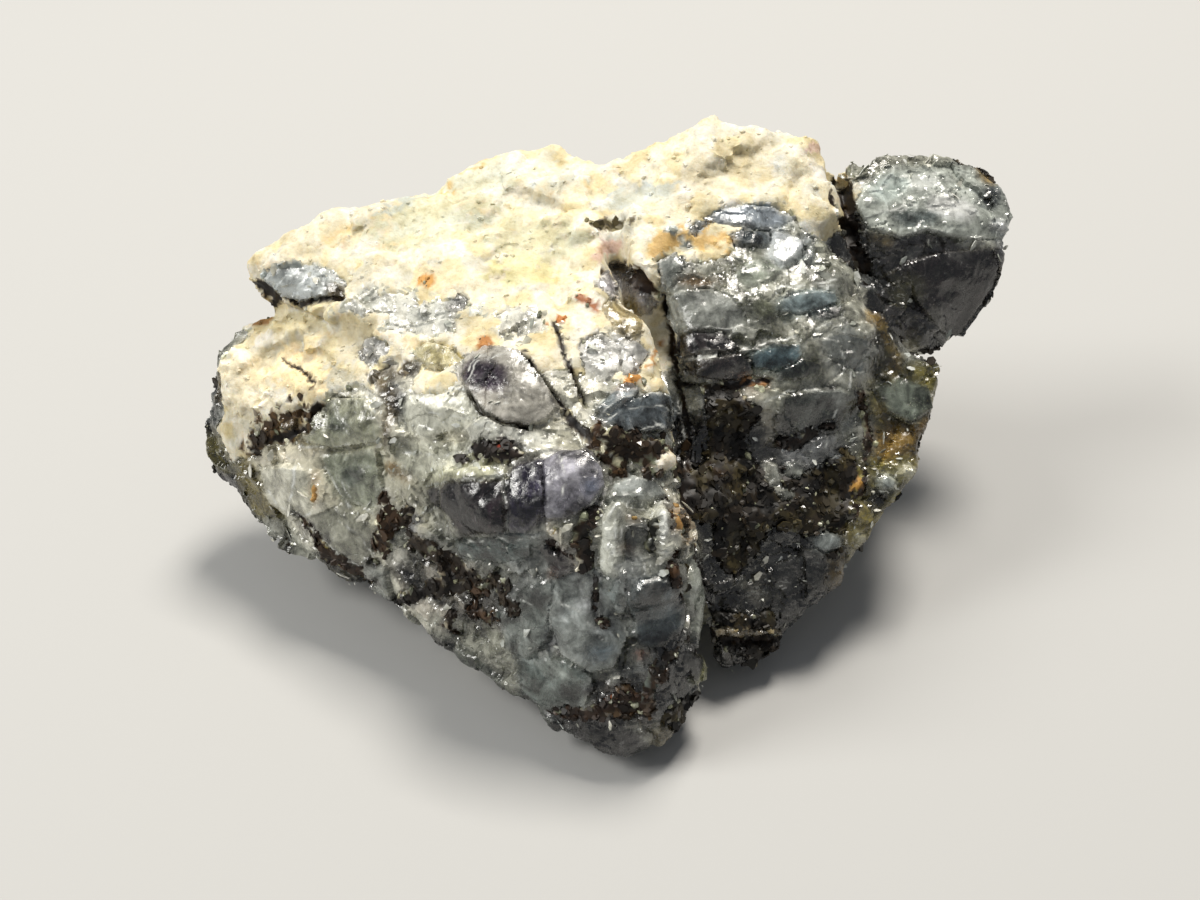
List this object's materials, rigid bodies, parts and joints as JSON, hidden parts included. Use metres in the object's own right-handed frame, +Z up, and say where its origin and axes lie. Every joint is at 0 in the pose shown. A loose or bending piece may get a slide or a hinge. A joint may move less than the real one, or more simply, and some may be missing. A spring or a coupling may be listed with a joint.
{
  "type": "alexandrite crystal",
  "caption": "Loose piece of alexandrite: glassy grey-green and purple crystals grown together with dark mica under a pale weathered top, resting on a small flat spot.",
  "frame": {"origin": "on the small flat spot that the piece rests on, at about its middle", "axes": "+Z up, +X along the longest side towards the knob, -Y towards the front cluster of crystals"},
  "size_m": [0.0472, 0.0313, 0.0224],
  "materials": {
    "alexandrite_rock": "rough weathered rock with glassy crystal faces and sparkling mica"
  },
  "bodies": {
    "root": {"alexandrite_crystal": "alexandrite_rock"}
  },
  "joints": []
}
